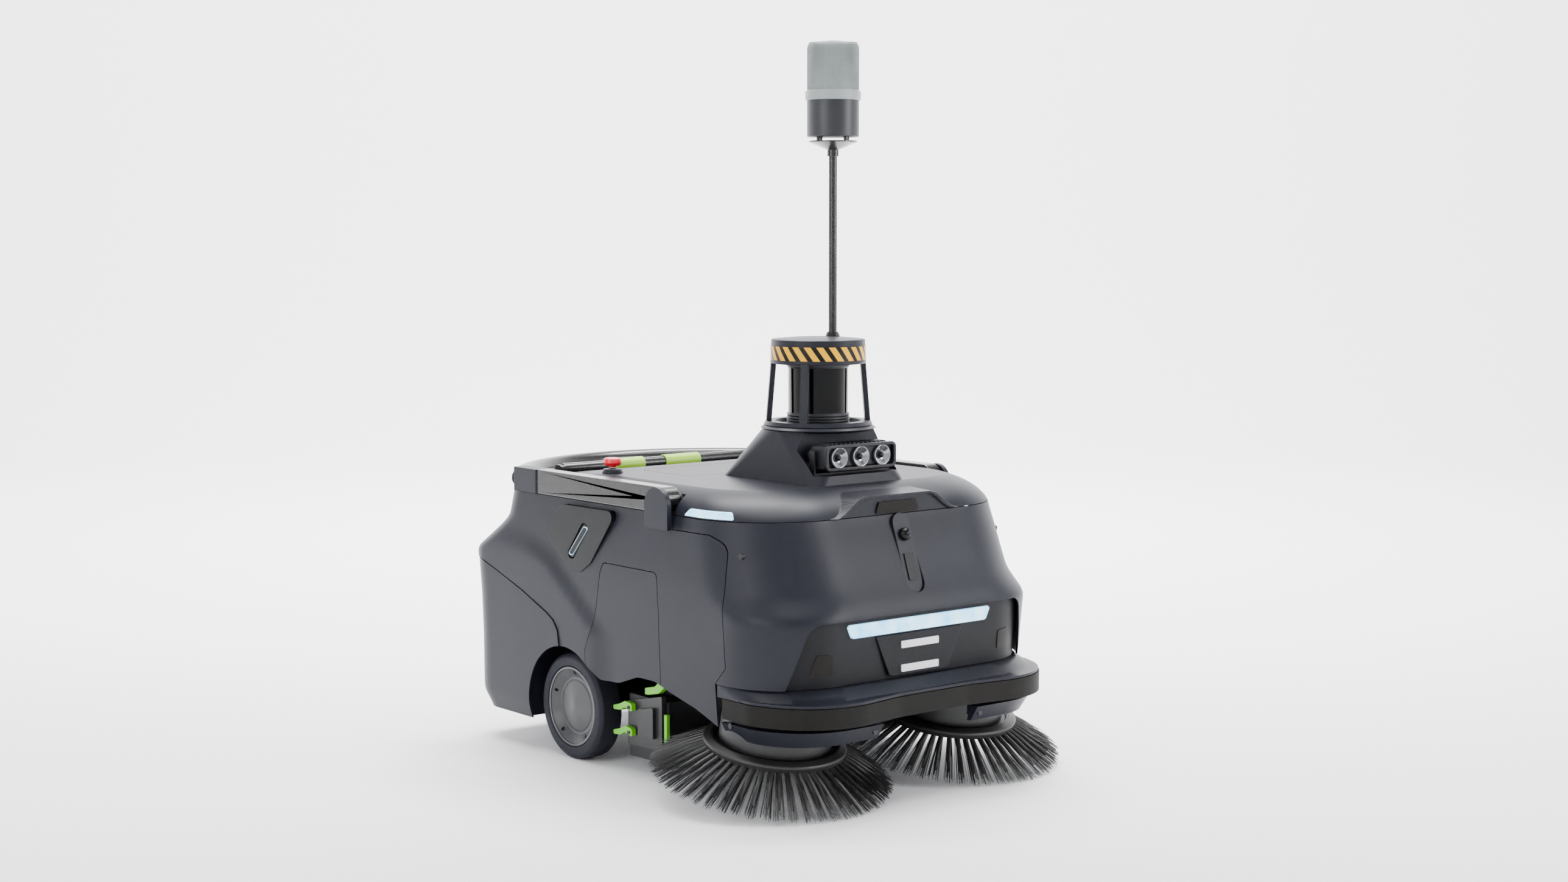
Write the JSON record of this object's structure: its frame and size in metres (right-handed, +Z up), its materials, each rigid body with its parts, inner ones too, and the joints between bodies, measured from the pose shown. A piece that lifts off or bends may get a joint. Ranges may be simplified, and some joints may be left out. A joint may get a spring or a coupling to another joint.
{
  "type": "robotic floor sweeper",
  "caption": "Self-driving floor sweeper with side brushes, roller brush, sprung bumper, scanner tower, beacon mast, lift-up push handle and slide-out dust bin.",
  "frame": {"origin": "bottom centre of the machine's bounding box, on the floor", "axes": "+Z up, the front faces -Y, +X to the right as seen from the front"},
  "size_m": [0.715, 0.892, 1.152],
  "materials": {
    "body_plastic": "satin moulded",
    "panel_plastic": "fine texture",
    "bumper_rubber": "matt",
    "black_tube": "satin powder coat",
    "frame_steel": "matt powder coat",
    "tyre_rubber": "matt",
    "hub_metal": "brushed",
    "brush_plastic": "moulded",
    "bristle": "fibre",
    "green_plastic": "moulded",
    "red_plastic": "gloss",
    "hazard_tape": "striped tape",
    "light_plastic": "lit diffuser",
    "reflector": "reflective film",
    "sensor_window": "infrared window",
    "gloss_black": "gloss",
    "lidar_glass": "mirror gloss",
    "lidar_plastic": "satin",
    "lens_clear": "ribbed diffuser",
    "lamp_metal": "die cast, coated",
    "lamp_lens": "clear",
    "steel": "brushed",
    "cell_case": "wrapped"
  },
  "bodies": {
    "chassis": {"axle_brackets": "frame_steel", "base_frame": "frame_steel", "battery": "cell_case", "beacon_base": "lidar_plastic", "beacon_lens": "lens_clear", "beacon_mast": "black_tube", "casing_screws": "frame_steel", "control_panels": "gloss_black", "controller": "lidar_plastic", "front_camera_lens": "gloss_black", "front_camera_pod": "body_plastic", "front_cover": "body_plastic", "front_panel": "panel_plastic", "front_skirt": "body_plastic", "grip_clips": "green_plastic", "handle_ears": "body_plastic", "hazard_band": "hazard_tape", "latch_brackets": "green_plastic", "lidar_housing": "lidar_plastic", "lidar_window": "lidar_glass", "lift_bar": "black_tube", "light_strips": "light_plastic", "main_cover": "body_plastic", "reflective_strips": "reflector", "roller_end_caps": "brush_plastic", "roller_housing": "frame_steel", "sensor_windows": "sensor_window", "side_brush_drives": "brush_plastic", "suction_fan": "lidar_plastic", "top_cover": "body_plastic", "tower_cage": "body_plastic", "tower_pedestal": "body_plastic", "work_lamp_stirrup": "frame_steel"},
    "bumper": {"bumper": "bumper_rubber"},
    "drive_wheel_left": {"drive_tyre_left": "tyre_rubber", "hub_motor_left": "hub_metal"},
    "drive_wheel_right": {"drive_tyre_right": "tyre_rubber", "hub_motor_right": "hub_metal"},
    "side_brush_left": {"side_brush_disc_left": "brush_plastic", "side_brush_bristles_left": "bristle"},
    "side_brush_right": {"side_brush_disc_right": "brush_plastic", "side_brush_bristles_right": "bristle"},
    "roller": {"roller_core": "brush_plastic", "roller_bristles": "bristle"},
    "caster_fork": {"caster_fork": "steel"},
    "caster_wheel": {"caster_wheel": "tyre_rubber"},
    "lower_latch": {"lower_latch": "green_plastic"},
    "upper_latch": {"upper_latch": "green_plastic"},
    "door_left": {"side_door_left": "body_plastic"},
    "door_right": {"side_door_right": "body_plastic"},
    "bin": {"dust_bin": "body_plastic"},
    "lamp": {"work_lamp_body": "lamp_metal", "work_lamp_bezel": "lamp_metal", "work_lamp_lenses": "lamp_lens"},
    "push_handle": {"handle_rails": "black_tube", "handle_clamps": "body_plastic", "handle_rear_bar": "black_tube"},
    "stop_button": {"stop_button": "red_plastic"},
    "power_button": {"power_button": "gloss_black"},
    "scanner": {"lidar_rotor": "lidar_plastic"}
  },
  "joints": [
    {"name": "bumper_press", "type": "slide", "parent": "chassis", "child": "bumper", "axis": [0, 1, 0], "range_m": [0, 0.008], "stiffness_N_per_m": 2500, "springref_m": -0.002},
    {"name": "drive_wheel_left_spin", "type": "hinge", "parent": "chassis", "child": "drive_wheel_left", "pos_m": [-0.25, 0.135, 0.086], "axis": [1, 0, 0], "continuous": true},
    {"name": "side_brush_left_spin", "type": "hinge", "parent": "chassis", "child": "side_brush_left", "pos_m": [-0.18, -0.264, 0.034], "axis": [0, -0.1736, 0.9848], "continuous": true},
    {"name": "door_left_swing", "type": "hinge", "parent": "chassis", "child": "door_left", "pos_m": [-0.2845, -0.123, 0.24], "axis": [0, 0, 1], "range_deg": [0, 100]},
    {"name": "drive_wheel_right_spin", "type": "hinge", "parent": "chassis", "child": "drive_wheel_right", "pos_m": [0.25, 0.135, 0.086], "axis": [1, 0, 0], "continuous": true},
    {"name": "side_brush_right_spin", "type": "hinge", "parent": "chassis", "child": "side_brush_right", "pos_m": [0.18, -0.264, 0.034], "axis": [0, -0.1736, 0.9848], "continuous": true},
    {"name": "door_right_swing", "type": "hinge", "parent": "chassis", "child": "door_right", "pos_m": [0.2845, -0.123, 0.24], "axis": [0, 0, -1], "range_deg": [0, 100]},
    {"name": "roller_spin", "type": "hinge", "parent": "chassis", "child": "roller", "pos_m": [0, -0.031, 0.05], "axis": [1, 0, 0], "continuous": true},
    {"name": "caster_swivel", "type": "hinge", "parent": "chassis", "child": "caster_fork", "pos_m": [0, -0.124, 0.09], "axis": [0, 0, 1], "continuous": true},
    {"name": "caster_roll", "type": "hinge", "parent": "caster_fork", "child": "caster_wheel", "pos_m": [0, -0.112, 0.025], "axis": [1, 0, 0], "continuous": true},
    {"name": "lower_latch_lift", "type": "hinge", "parent": "chassis", "child": "lower_latch", "pos_m": [-0.252, -0.001, 0.064], "axis": [1, 0, 0], "range_deg": [0, 35]},
    {"name": "upper_latch_lift", "type": "hinge", "parent": "chassis", "child": "upper_latch", "pos_m": [-0.252, -0.001, 0.104], "axis": [1, 0, 0], "range_deg": [0, 35]},
    {"name": "bin_slide", "type": "slide", "parent": "chassis", "child": "bin", "axis": [0, 1, 0], "range_m": [0, 0.26]},
    {"name": "lamp_tilt", "type": "hinge", "parent": "chassis", "child": "lamp", "pos_m": [0, -0.237, 0.507], "axis": [1, 0, 0], "range_deg": [-12, 12]},
    {"name": "handle_lift", "type": "hinge", "parent": "chassis", "child": "push_handle", "pos_m": [0, -0.125, 0.4475], "axis": [1, 0, 0], "range_deg": [0, 75]},
    {"name": "stop_button_press", "type": "slide", "parent": "chassis", "child": "stop_button", "axis": [0, 0, -1], "range_m": [0, 0.004], "stiffness_N_per_m": 800, "springref_m": -0.001},
    {"name": "power_button_press", "type": "slide", "parent": "chassis", "child": "power_button", "axis": [1, 0, 0], "range_m": [0, 0.0015], "stiffness_N_per_m": 800, "springref_m": -0.0005},
    {"name": "scanner_spin", "type": "hinge", "parent": "chassis", "child": "scanner", "pos_m": [0, -0.161, 0.6], "axis": [0, 0, 1], "continuous": true}
  ]
}
